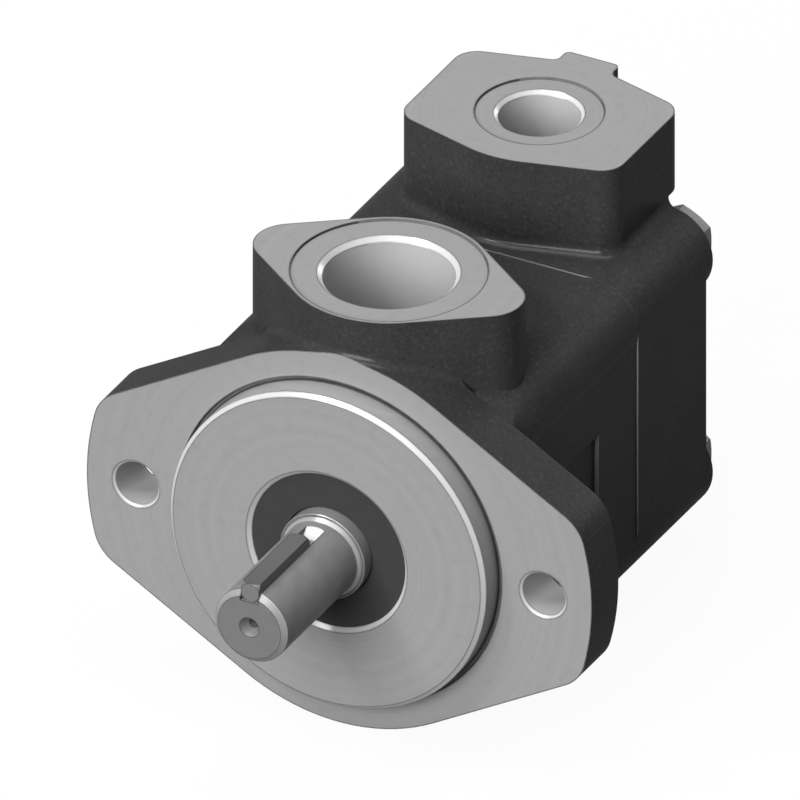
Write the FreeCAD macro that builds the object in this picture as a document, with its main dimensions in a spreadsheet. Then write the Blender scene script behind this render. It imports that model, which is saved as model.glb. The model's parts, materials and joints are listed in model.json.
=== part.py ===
import FreeCAD, Part
import math
import os
from types import SimpleNamespace

import Sketcher
from FreeCAD import Placement, Rotation, Vector

# Balanced hydraulic vane pump, in millimetres. The shaft lies along Y with its keyed end towards -Y.
# The origin is the centre of the mounting flange's front face, and the two ports open upwards, along +Z.

SIZES = {
    # Mounting flange: two ears, a round middle and straight edges that slope down from it
    "flangeThickness": 13.1,
    "flangeRadius": 49.2,
    "flangeSlope": 30.0,  # degrees from the line through the mounting holes
    "mountingSpan": 106.4,  # hole to hole
    "earWall": 12.8,  # from a hole's centre to the end of its ear
    "earCorner": 10.35,
    "mountingRadius": 5.55,
    "mountingChamfer": 0.65,
    # Pilot that centres the pump in its mounting plate
    "pilotRadius": 41.275,
    "pilotLength": 6.35,
    "pilotChamfer": 1.07,
    "reliefWidth": 1.1,
    "reliefDepth": 1.0,
    # Square barrel behind the flange, with a bolt tunnel along each corner
    "bodyLength": 72.2,  # flange face to the joint with the rear cover
    "castingAllowance": 5.0,  # metal that is cut away again once the castings' fillets are on
    "boltOffset": 28.575,  # from the shaft axis to each bolt, across and up
    "tunnelRadius": 11.4,
    "tunnelCrest": 20.2,  # where the slope behind the flange's rim reaches the tunnels' crest
    "flatRecess": 0.4,
    "barrelCorner": 13.6,
    "notchDepth": 1.05,  # room for the heads of the mounting bolts
    "notchHalfHeight": 11.0,
    "notchEnd": 53.4,
    # Inlet port on the front body
    "inletFace": 59.65,
    "inletStation": 24.5,
    "inletBossRadius": 24.0,
    "inletLobeOffset": 25.4,
    "inletLobeRadius": 9.05,
    "inletSpotRadius": 23.0,
    "inletMouthRadius": 16.65,
    "inletThreadRadius": 15.4,
    "inletDepth": 23.0,
    "inletFillet": 2.0,
    "galleryRadius": 9.0,
    "galleryStation": 31.0,
    "galleryDepth": 16.0,
    "spotDepth": 0.5,
    # Seal, bearing and shaft hole, all entered from the front
    "sealRadius": 20.0,
    "sealMouthChamfer": 1.05,
    "sealWidth": 7.0,
    "retainerSetback": 1.3,
    "retainerThickness": 1.5,
    "retainerGrooveDepth": 1.2,
    "bearingWidth": 12.0,
    "bearingLedge": 3.4,
    "chamberFront": 22.0,
    "chamberLength": 17.5,
    "chamberRadius": 28.0,
    "shaftHoleRadius": 9.4,
    "fitGap": 0.05,
    "sealSkin": 0.9,
    "dustLipRadius": 11.4,
    "sealCaseInner": 14.2,
    "garterRadius": 0.6,
    "garterSetback": 5.0,
    "garterRecess": 0.9,
    "retainerBand": 2.0,
    "retainerLug": 1.9,
    "lugSwing": 14.0,  # degrees from the bottom to each lug
    # Pumping cartridge
    "cartridgeRadius": 32.5,
    "ringWidth": 18.0,
    "minorRadius": 24.0,
    "majorRadius": 26.2,
    "dwellAngle": 24.0,
    "rotorRadius": 23.8,
    "vaneThickness": 1.8,
    "vaneHeight": 8.8,
    "vaneTipRadius": 1.4,
    "slotBottomRadius": 14.6,
    "underVaneRadius": 1.3,
    "plateFlange": 4.0,
    "plateHubRadius": 28.5,
    "plateHubLength": 10.0,
    "plateGap": 0.3,
    "spigotLength": 3.9,
    "pinRadius": 1.6,
    "pinOffset": 28.9,
    "pinDepth": 5.0,
    "kidneyInner": 20.0,
    "kidneyOuter": 25.4,
    "kidneyAngle": 42.0,
    "bushingWall": 2.0,
    "ventDepth": 1.5,
    "platePinDepth": 3.0,
    "sealRingRadius": 0.9,
    "sealGrooveRoom": 0.3,
    # Rear cover
    "coverLength": 33.6,
    "cornerBossHeight": 3.3,
    "boltHoleRadius": 5.1,
    "springRoom": 1.5,
    "chamberBehindRadius": 22.0,
    "outletChamberRadius": 12.0,
    "outletChamberLength": 17.5,
    "outletFace": 63.0,
    "outletStation": 26.7,  # from the joint to the outlet's axis
    "outletHalfWidth": 28.4,
    "outletHalfLength": 23.1,
    "outletFrontRadius": 27.6,
    "outletCorner": 6.0,
    "outletCornerStation": 11.8,
    "outletUnderside": 42.6,
    "outletFillet": 2.5,
    "lipThickness": 2.0,  # of the rim that joins the two upper corner bosses
    "bossSink": 4.0,
    "outletSpotRadius": 15.1,
    "outletMouthRadius": 10.6,
    "outletThreadRadius": 9.6,
    "outletDepth": 22.0,
    "outletPassageRadius": 7.0,
    "outletPassageStation": 21.5,
    "tabHalfWidth": 7.0,
    "tabReach": 3.7,
    "tabCorner": 1.5,
    "tabFillet": 2.0,
    "neckHalfWidth": 16.0,
    "neckDepth": 9.0,
    "neckFoot": 14.0,
    # Shaft with its keyed end
    "shaftRadius": 9.525,
    "shaftReach": 44.57,
    "shaftChamfer": 1.32,
    "centreMouthRadius": 2.55,
    "centrePilotRadius": 1.2,
    "centreDepth": 6.0,
    "centreConeDepth": 2.3,
    "coneFoot": 9.5,
    "coneRise": 0.9,
    "journalRadius": 11.1,
    "journalChamfer": 0.25,
    "bearingSeatRadius": 8.5,
    "seatTail": 2.9,
    "circlipThickness": 1.1,
    "circlipGrooveDepth": 0.5,
    "circlipBand": 1.6,
    "circlipLug": 1.6,
    "neckRadius": 7.7,
    "splineRunIn": 3.0,
    "tailSetback": 1.0,
    "splineRadius": 8.3,
    "splineDepth": 1.1,
    "splineWidth": 2.4,
    "tailRadius": 6.5,
    "keyWidth": 4.76,
    "keyHeight": 4.76,
    "keyLength": 25.2,
    "keySetback": 0.35,
    "keyTurnedRadius": 2.4,
    "keyTurnedLength": 1.0,
    "keyFloor": 6.84,
    "cutterRadius": 11.8,
    # Ball bearing
    "ballRadius": 3.35,
    "cageThickness": 2.8,
    "cageHalfWidth": 4.4,
    "cageClearance": 1.0,
    # Cover bolts
    "boltRadius": 4.7625,
    "boltLength": 57.0,
    "headFlats": 14.29,
    "headHeight": 7.6,
    "headChamfer": 0.9,
    "threadReserve": 4.0,
    # Disc spring between the pressure plate and the cover
    "springBand": 4.4,
    "springThickness": 1.2,
    "springClearance": 0.6,
    "springSeatDepth": 0.8,
}

BALL_COUNT = 8
VANE_COUNT = 12
FIRST_VANE = 15  # degrees from X to the first vane's slot
SPLINE_COUNT = 10
BOLT_COUNT = 4
CAM_POINTS = 72
TINY = 1e-4  # places closer than this count as one


class Size:
    # A number together with the spreadsheet expression that it comes from
    def __init__(self, number, text):
        self.number = float(number)
        self.text = text

    def joined(self, other, sign, number, swapped=False):
        text = other.text if isinstance(other, Size) else repr(other)
        first, second = (text, self.text) if swapped else (self.text, text)
        return Size(number, f"({first} {sign} {second})")

    def __add__(self, other):
        return self.joined(other, "+", self.number + plain(other))

    def __radd__(self, other):
        return self.joined(other, "+", plain(other) + self.number, True)

    def __sub__(self, other):
        return self.joined(other, "-", self.number - plain(other))

    def __rsub__(self, other):
        return self.joined(other, "-", plain(other) - self.number, True)

    def __mul__(self, other):
        return self.joined(other, "*", self.number * plain(other))

    def __rmul__(self, other):
        return self.joined(other, "*", plain(other) * self.number, True)

    def __truediv__(self, other):
        return self.joined(other, "/", self.number / plain(other))

    def __neg__(self):
        return Size(-self.number, f"(-{self.text})")


def plain(value):
    # The bare number of a size
    return value.number if isinstance(value, Size) else float(value)


document = FreeCAD.newDocument("VanePump")
sheet = document.addObject("Spreadsheet::Sheet", "Sizes")
for row, (alias, number) in enumerate(SIZES.items(), start=1):
    sheet.set(f"A{row}", alias)
    sheet.set(f"B{row}", str(number))
    sheet.setAlias(f"B{row}", alias)
document.recompute()
s = SimpleNamespace(**{alias: Size(getattr(sheet, alias), f"Sizes.{alias}") for alias in SIZES})


def bind(feature, name, size):
    # Set a property and tie it to the sheet
    setattr(feature, name, plain(size))
    if isinstance(size, Size):
        feature.setExpression(name, size.text)


def new_body(label):
    body = document.addObject("PartDesign::Body", label)
    body.Label = label
    return body


def origin_feature(body, role):
    return next(item for item in body.Origin.OriginFeatures if item.Role == role)


def new_sketch(body, name, role, offset=0, turned=Rotation()):
    # A sketch on one of the body's own planes, moved along the plane's normal and turned in place
    sketch = body.newObject("Sketcher::SketchObject", name)
    sketch.AttachmentSupport = (origin_feature(body, role), [""])
    sketch.MapMode = "FlatFace"
    sketch.AttachmentOffset = Placement(Vector(0, 0, plain(offset)), turned)
    if isinstance(offset, Size):
        sketch.setExpression("AttachmentOffset.Base.z", offset.text)
    return sketch


def across(body, name, station=0, angle=0):
    # A sketch across the shaft at a station along Y, whose x is at an angle from X towards Z
    return new_sketch(body, name, "XZ_Plane", -station, Rotation(Vector(0, 0, 1), angle))


def limit(sketch, constraint, size):
    # Add a dimension to a sketch and tie it to the sheet
    index = sketch.addConstraint(constraint)
    sketch.setExpression(f"Constraints[{index}]", size.text)


def place_point(sketch, geometry, point, x, y):
    # Fix a point of a sketch by its two distances from the origin, where a plain 0 means on the axis
    for kind, axis, value in (("DistanceX", -2, x), ("DistanceY", -1, y)):
        if isinstance(value, Size):
            limit(sketch, Sketcher.Constraint(kind, -1, 1, geometry, point, value.number), value)
        else:
            sketch.addConstraint(Sketcher.Constraint("PointOnObject", geometry, point, axis))


def flat(x, y):
    return Vector(plain(x), plain(y), 0)


def draw_polygon(sketch, corners):
    # A closed outline of straight lines
    first = sketch.GeometryCount
    count = len(corners)
    for index, corner in enumerate(corners):
        sketch.addGeometry(Part.LineSegment(flat(*corner), flat(*corners[(index + 1) % count])), False)
    for index, corner in enumerate(corners):
        before = first + (index - 1) % count
        sketch.addConstraint(Sketcher.Constraint("Coincident", before, 2, first + index, 1))
        place_point(sketch, first + index, 1, *corner)


def draw_circle(sketch, x, y, radius):
    circle = Part.Circle(flat(x, y), Vector(0, 0, 1), radius.number)
    index = sketch.addGeometry(circle, False)
    place_point(sketch, index, 3, x, y)
    limit(sketch, Sketcher.Constraint("Radius", index, radius.number), radius)


def draw_axis(sketch, x, low, high):
    # An upright construction line, which the sketch offers as a turning axis
    index = sketch.addGeometry(Part.LineSegment(flat(x, low), flat(x, high)), True)
    place_point(sketch, index, 1, x, low)
    place_point(sketch, index, 2, x, high)


def outer_tangent(start, end):
    # The outward direction of the line that touches two circles, followed anticlockwise
    step = flat(*end[:2]) - flat(*start[:2])
    along = (plain(start[2]) - plain(end[2])) / step.Length
    step.normalize()
    right = Vector(step.y, -step.x, 0)
    return step * along + right * math.sqrt(1 - along * along)


def direction_angle(vector):
    return math.atan2(vector.y, vector.x)


def add_arc(sketch, centre, radius, start, end):
    circle = Part.Circle(centre, Vector(0, 0, 1), radius)
    return sketch.addGeometry(Part.ArcOfCircle(circle, start, end), False)


def draw_rounded(sketch, rounds):
    # A closed outline that wraps circles, given anticlockwise as (x, y, radius), with tangent lines
    count = len(rounds)
    normals = [outer_tangent(rounds[index], rounds[(index + 1) % count]) for index in range(count)]
    arcs, lines = [], []
    for index, (x, y, radius) in enumerate(rounds):
        centre = flat(x, y)
        arrive = direction_angle(normals[index - 1])
        leave = direction_angle(normals[index])
        arcs.append(add_arc(sketch, centre, radius.number, arrive, leave))
        following = rounds[(index + 1) % count]
        start = centre + normals[index] * radius.number
        finish = flat(*following[:2]) + normals[index] * following[2].number
        lines.append(sketch.addGeometry(Part.LineSegment(start, finish), False))
    for index, (x, y, radius) in enumerate(rounds):
        sketch.addConstraint(Sketcher.Constraint("Tangent", arcs[index], 2, lines[index], 1))
        sketch.addConstraint(Sketcher.Constraint("Tangent", lines[index - 1], 2, arcs[index], 1))
        place_point(sketch, arcs[index], 3, x, y)
        limit(sketch, Sketcher.Constraint("Radius", arcs[index], radius.number), radius)


def extrude(body, kind, name, sketch, length, reverse=False, both_ways=False):
    feature = body.newObject(f"PartDesign::{kind}", name)
    feature.Profile = sketch
    bind(feature, "Length", length)
    feature.Reversed = reverse
    if both_ways:
        feature.SideType = "Symmetric"
    return feature


def turn(body, kind, name, sketch, axis="V_Axis", angle=360):
    feature = body.newObject(f"PartDesign::{kind}", name)
    feature.Profile = sketch
    feature.ReferenceAxis = (sketch, [axis])
    bind(feature, "Angle", angle)
    return feature


def around_shaft(body, name, feature, count):
    # Repeat a feature evenly about the shaft axis
    pattern = body.newObject("PartDesign::PolarPattern", name)
    pattern.Originals = [feature]
    pattern.Axis = (origin_feature(body, "Y_Axis"), [""])
    pattern.Angle = 360
    pattern.Occurrences = count
    body.Tip = pattern
    return pattern


def turned_body(label, outline):
    # A piece turned about the shaft axis, from its outline as (radius, station)
    body = new_body(label)
    sketch = new_sketch(body, "Outline", "XY_Plane")
    draw_polygon(sketch, outline)
    turn(body, "Revolution", "Turned", sketch)
    return body


def edge_names(feature, wanted):
    # The names of a feature's edges whose middle passes a test
    return [
        f"Edge{index}"
        for index, edge in enumerate(feature.Shape.Edges, start=1)
        if wanted(edge)
    ]


def foot_edges(feature, sketch, wanted):
    # The edges where an upright boss stands on what carries it, if their middle passes a test
    document.recompute()
    outline = sketch.Shape
    level = sketch.Placement.Base.z

    def along_foot(edge):
        first, last = edge.FirstParameter, edge.LastParameter
        start, middle, end = [edge.valueAt(first + (last - first) * share) for share in (0, 0.5, 1)]
        if middle.z > level - TINY or math.hypot(start.x - end.x, start.y - end.y) < TINY:
            return False
        shadows = [Part.Vertex(point.x, point.y, level) for point in (start, middle, end)]
        return wanted(middle) and all(outline.distToShape(shadow)[0] < TINY for shadow in shadows)

    return edge_names(feature, along_foot)


def dress(body, kind, name, feature, edges, size):
    # A fillet or chamfer along named edges
    dressed = body.newObject(f"PartDesign::{kind}", name)
    dressed.Base = (feature, edges)
    bind(dressed, "Radius" if kind == "Fillet" else "Size", size)
    return dressed


# Stations along the shaft that more than one piece uses
earReach = s.mountingSpan / 2 + s.earWall
flangeBack = s.flangeThickness
jointPlane = s.bodyLength
spigotEnd = jointPlane - s.spigotLength
plateStep = spigotEnd - s.plateGap
ringEnd = plateStep - s.plateFlange
wearFace = ringEnd - s.ringWidth
plateEnd = plateStep + s.plateHubLength
coverRear = jointPlane + s.coverLength
boltSeat = coverRear + s.cornerBossHeight
outletAxis = jointPlane + s.outletStation
sealFront = s.sealMouthChamfer - s.pilotLength
sealRear = sealFront + s.sealWidth
retainerFront = sealRear + s.retainerSetback
retainerRear = retainerFront + s.retainerThickness
bearingFront = retainerRear + s.fitGap
bearingRear = bearingFront + s.bearingWidth
bearingMiddle = bearingFront + s.bearingWidth / 2
chamberRear = s.chamberFront + s.chamberLength

# Half sizes of the two castings
coverHalf = s.boltOffset + s.tunnelRadius
bodyHalf = coverHalf - s.flatRecess
threadEnd = boltSeat - s.boltLength

# Bearing between the shaft's seat and the seal's bore
ballPitchRadius = (s.bearingSeatRadius + s.sealRadius) / 2
raceWall = (s.sealRadius - s.bearingSeatRadius - s.cageThickness) / 2 - s.cageClearance
innerRaceRadius = s.bearingSeatRadius + raceWall
outerRaceRadius = s.sealRadius - raceWall

# Bores and what runs in them
bushingInner = s.tailRadius + s.fitGap
bushingOuter = bushingInner + s.bushingWall
ringOuter = s.cartridgeRadius - s.fitGap
coverBore = s.plateHubRadius + s.fitGap
splineRoot = s.splineRadius - s.splineDepth
sealRing = s.sealRingRadius - s.fitGap / 2
lipRadius = s.journalRadius + s.fitGap
garterSeat = s.dustLipRadius + s.sealSkin * 2
garterStation = sealFront + s.garterSetback
vaneTip = s.rotorRadius - s.fitGap
springInner = s.outletChamberRadius + s.springClearance
springOuter = springInner + s.springBand
keyFront = s.keySetback - s.shaftReach
keyRear = keyFront + s.keyLength
keyTop = s.keyFloor + s.keyHeight


def square_rounds(half, radius):
    offset = half - radius
    return [
        (-offset, -offset, radius),
        (offset, -offset, radius),
        (offset, offset, radius),
        (-offset, offset, radius),
    ]


def draw_flange(sketch):
    # Going anticlockwise: each ear's end arc, a corner, a sloping edge, the round middle and back down
    reach, middle, corner = earReach.number, s.flangeRadius.number, s.earCorner.number
    slope = math.radians(s.flangeSlope.number)
    normal = Vector(math.sin(slope), math.cos(slope), 0)
    down = Vector(normal.y, -normal.x, 0)
    along = math.sqrt((reach - corner) ** 2 - (middle - corner) ** 2)
    joint = normal * (middle - corner) + down * along
    quarters = ((1, 1), (-1, 1), (-1, -1), (1, -1))
    ends = [sketch_ear(sketch, joint, side) for side in (1, -1)]
    tops = [sketch_middle(sketch, normal, side) for side in (1, -1)]
    for number, (right, up) in enumerate(quarters):
        centre = Vector(joint.x * right, joint.y * up, 0)
        outward = Vector(normal.x * right, normal.y * up, 0)
        rises = right == up
        angles = (direction_angle(centre), direction_angle(outward))
        round_off = add_arc(sketch, centre, corner, *(angles if rises else angles[::-1]))
        limit(sketch, Sketcher.Constraint("Radius", round_off, corner), s.earCorner)
        points = [centre + outward * corner, outward * middle]
        edge = sketch.addGeometry(Part.LineSegment(*(points if rises else points[::-1])), False)
        heading = ((180 - s.flangeSlope), (s.flangeSlope - 180), -s.flangeSlope, s.flangeSlope)[number]
        limit(sketch, Sketcher.Constraint("Angle", edge, math.radians(heading.number)), heading)
        ear = ends[0 if right > 0 else 1]
        top = tops[0 if up > 0 else 1]
        if rises:
            chain = ((ear, 2, round_off, 1), (round_off, 2, edge, 1), (edge, 2, top, 1))
        else:
            chain = ((top, 2, edge, 1), (edge, 2, round_off, 1), (round_off, 2, ear, 1))
        for link in chain:
            sketch.addConstraint(Sketcher.Constraint("Tangent", *link))


def sketch_ear(sketch, joint, side):
    swing = direction_angle(joint)
    middle = 0 if side > 0 else math.pi
    arc = add_arc(sketch, Vector(0, 0, 0), earReach.number, middle - swing, middle + swing)
    sketch.addConstraint(Sketcher.Constraint("Coincident", arc, 3, -1, 1))
    limit(sketch, Sketcher.Constraint("Radius", arc, earReach.number), earReach)
    return arc


def sketch_middle(sketch, normal, side):
    swing = math.pi / 2 - direction_angle(normal)
    middle = math.pi / 2 * side
    arc = add_arc(sketch, Vector(0, 0, 0), s.flangeRadius.number, middle - swing, middle + swing)
    sketch.addConstraint(Sketcher.Constraint("Coincident", arc, 3, -1, 1))
    limit(sketch, Sketcher.Constraint("Radius", arc, s.flangeRadius.number), s.flangeRadius)
    return arc


def cut_port(body, name, axis, face, spot, mouth, thread, depth):
    # A threaded port seen from the side: spotface, chamfer down to the thread's crests, and a flat bottom
    sketch = new_sketch(body, f"{name}Outline", "YZ_Plane")
    seat = face - s.spotDepth
    draw_axis(sketch, axis, face - depth, face)
    draw_polygon(
        sketch,
        [
            (axis, face - depth),
            (axis + thread, face - depth),
            (axis + thread, seat - (mouth - thread)),
            (axis + mouth, seat),
            (axis + spot, seat),
            (axis + spot, face),
            (axis, face),
        ],
    )
    return turn(body, "Groove", name, sketch, "Axis0")


def cut_corner_holes(body, name, station, radius, depth, towards_rear):
    sketch = across(body, f"{name}Outline", station)
    draw_circle(sketch, s.boltOffset, s.boltOffset, radius)
    hole = extrude(body, "Pocket", name, sketch, depth, reverse=not towards_rear)
    return around_shaft(body, f"{name}All", hole, BOLT_COUNT)


def cut_kidneys(body, name, angle, low, high):
    # Two opposite curved ports, each swept about the shaft axis
    turned = Rotation(Vector(0, 1, 0), -angle)
    sketch = new_sketch(body, f"{name}Outline", "XY_Plane", 0, turned)
    draw_polygon(
        sketch,
        [(s.kidneyInner, low), (s.kidneyOuter, low), (s.kidneyOuter, high), (s.kidneyInner, high)],
    )
    kidney = turn(body, "Groove", name, sketch, angle=s.kidneyAngle)
    kidney.Midplane = True
    return around_shaft(body, f"{name}All", kidney, 2)


def cut_pin_holes(body, name, station, depth, towards_rear):
    sketch = across(body, f"{name}Outline", station)
    draw_circle(sketch, s.pinOffset, 0, s.pinRadius)
    hole = extrude(body, "Pocket", name, sketch, depth, reverse=not towards_rear)
    return around_shaft(body, f"{name}All", hole, 2)


def slope_tunnels(body):
    # Behind the flange's sloping rim the tunnels rise gently to full height, so no step stands above the rim
    slope = math.radians(s.flangeSlope.number)
    crest = s.boltOffset * (math.sin(slope) + math.cos(slope)) + s.tunnelRadius + s.fitGap
    beyond = s.flangeRadius + s.tunnelRadius
    for name, angle in (("RightSlope", 90 - s.flangeSlope), ("LeftSlope", 90 + s.flangeSlope)):
        sketch = new_sketch(body, f"{name}Outline", "XY_Plane", 0, Rotation(Vector(0, 1, 0), -angle.number))
        draw_polygon(
            sketch,
            [
                (s.flangeRadius, flangeBack),
                (beyond, flangeBack),
                (beyond, s.tunnelCrest),
                (crest, s.tunnelCrest),
            ],
        )
        wedge = extrude(body, "Pocket", name, sketch, s.boltOffset * 2, both_ways=True)
        around_shaft(body, f"{name}s", wedge, 2)


def make_front_body():
    # The front casting: flange, barrel with its bolt tunnels, inlet boss and pilot
    body = new_body("front_body")
    sketch = across(body, "FlangeOutline", -s.castingAllowance)
    draw_flange(sketch)
    extrude(body, "Pad", "Flange", sketch, flangeBack + s.castingAllowance, reverse=True)

    sketch = across(body, "BarrelOutline", flangeBack)
    draw_rounded(sketch, square_rounds(bodyHalf, s.barrelCorner))
    extrude(body, "Pad", "Barrel", sketch, jointPlane - flangeBack, reverse=True)
    sketch = across(body, "TunnelOutline", flangeBack)
    draw_circle(sketch, s.boltOffset, s.boltOffset, s.tunnelRadius)
    tunnel = extrude(body, "Pad", "Tunnel", sketch, jointPlane - flangeBack, reverse=True)
    around_shaft(body, "Tunnels", tunnel, BOLT_COUNT)
    slope_tunnels(body)

    sketch = new_sketch(body, "InletBossOutline", "XY_Plane", s.inletFace)
    middle = (0, s.inletStation, s.inletBossRadius)
    right = (s.inletLobeOffset, s.inletStation, s.inletLobeRadius)
    left = (-s.inletLobeOffset, s.inletStation, s.inletLobeRadius)
    draw_rounded(sketch, [middle, right, middle, left])
    boss = extrude(body, "Pad", "InletBoss", sketch, s.inletFace - s.chamberRadius, reverse=True)
    edges = foot_edges(boss, sketch, is_between_lobes)
    dress(body, "Fillet", "InletFoot", boss, edges, s.inletFillet)

    sketch = across(body, "FacedOutline")
    draw_circle(sketch, 0, 0, earReach + s.castingAllowance)
    extrude(body, "Pocket", "Faced", sketch, s.castingAllowance, reverse=True)

    sketch = new_sketch(body, "PilotOutline", "XY_Plane")
    draw_polygon(
        sketch,
        [
            (0, -s.pilotLength),
            (s.pilotRadius - s.pilotChamfer, -s.pilotLength),
            (s.pilotRadius, s.pilotChamfer - s.pilotLength),
            (s.pilotRadius, flangeBack / 2),
            (0, flangeBack / 2),
        ],
    )
    turn(body, "Revolution", "Pilot", sketch)

    bore_front_body(body)
    drill_front_body(body)
    return body


def is_between_lobes(point):
    # True on the flange's rim in front of the inlet boss, and behind the boss where the barrel is flat
    return point.y < flangeBack.number or (
        point.y > s.inletStation.number and abs(point.x) < s.inletLobeOffset.number
    )


def bore_front_body(body):
    # Turned work about the shaft axis, then the inlet port and its way down to the chamber
    sketch = new_sketch(body, "BoreOutline", "XY_Plane")
    grooveRadius = s.sealRadius + s.retainerGrooveDepth
    ledgeRadius = s.sealRadius - s.bearingLedge
    draw_polygon(
        sketch,
        [
            (0, -s.pilotLength),
            (s.sealRadius + s.sealMouthChamfer, -s.pilotLength),
            (s.sealRadius, sealFront),
            (s.sealRadius, retainerFront),
            (grooveRadius, retainerFront),
            (grooveRadius, retainerRear),
            (s.sealRadius, retainerRear),
            (s.sealRadius, bearingRear),
            (ledgeRadius, bearingRear),
            (ledgeRadius, s.chamberFront),
            (s.chamberRadius, s.chamberFront),
            (s.chamberRadius, chamberRear),
            (s.shaftHoleRadius, chamberRear),
            (s.shaftHoleRadius, wearFace),
            (s.cartridgeRadius, wearFace),
            (s.cartridgeRadius, jointPlane),
            (0, jointPlane),
        ],
    )
    turn(body, "Groove", "Bore", sketch)

    sketch = new_sketch(body, "ReliefOutline", "XY_Plane")
    reliefRadius = s.pilotRadius + s.reliefWidth
    draw_polygon(
        sketch,
        [(s.pilotRadius, 0), (reliefRadius, 0), (reliefRadius, s.reliefDepth), (s.pilotRadius, s.reliefDepth)],
    )
    turn(body, "Groove", "Relief", sketch)

    cut_port(
        body,
        "InletPort",
        s.inletStation,
        s.inletFace,
        s.inletSpotRadius,
        s.inletMouthRadius,
        s.inletThreadRadius,
        s.inletDepth,
    )
    sketch = new_sketch(body, "GalleryOutline", "XY_Plane", s.inletFace - s.inletDepth)
    draw_circle(sketch, 0, s.galleryStation, s.galleryRadius)
    extrude(body, "Pocket", "Gallery", sketch, s.galleryDepth)


def drill_front_body(body):
    # Bolt-head notches in the sides, mounting holes, tapped holes, inlet kidneys and locating-pin holes
    sketch = across(body, "NotchOutline", flangeBack)
    floor = bodyHalf - s.notchDepth
    beyond = coverHalf + s.notchDepth
    for inner, outer in ((floor, beyond), (-beyond, -floor)):
        draw_polygon(
            sketch,
            [
                (inner, -s.notchHalfHeight),
                (outer, -s.notchHalfHeight),
                (outer, s.notchHalfHeight),
                (inner, s.notchHalfHeight),
            ],
        )
    extrude(body, "Pocket", "Notches", sketch, s.notchEnd - flangeBack)

    sketch = across(body, "MountingOutline")
    for side in (1, -1):
        draw_circle(sketch, s.mountingSpan * (side / 2), 0, s.mountingRadius)
    holes = extrude(body, "Pocket", "MountingHoles", sketch, s.flangeThickness)
    document.recompute()
    rims = edge_names(holes, lambda edge: is_hole_rim(edge, s.mountingRadius.number))
    dress(body, "Chamfer", "MountingChamfers", holes, rims, s.mountingChamfer)

    cut_corner_holes(
        body, "TappedHole", jointPlane, s.boltRadius, jointPlane - threadEnd + s.threadReserve, False
    )
    cut_kidneys(body, "InletKidney", 45, chamberRear, wearFace)
    cut_pin_holes(body, "FloorPinHole", wearFace, s.pinDepth, False)


def is_hole_rim(edge, radius):
    # True for a full circle of this radius on the flange's front face
    curve = edge.Curve
    return (
        isinstance(curve, Part.Circle)
        and abs(curve.Radius - radius) < TINY
        and abs(curve.Center.y) < TINY
        and abs(curve.Center.z) < TINY
        and abs(curve.Center.x) > radius
    )


def is_tab_root(edge, tab_end):
    # True for an upright edge where the tab's side leaves the outlet boss
    start, end = edge.Vertexes[0].Point, edge.Vertexes[-1].Point
    return (
        math.hypot(start.x - end.x, start.y - end.y) < TINY
        and abs(start.z - end.z) > TINY
        and abs(abs(start.x) - s.tabHalfWidth.number) < TINY
        and start.y < tab_end - TINY
    )


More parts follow.
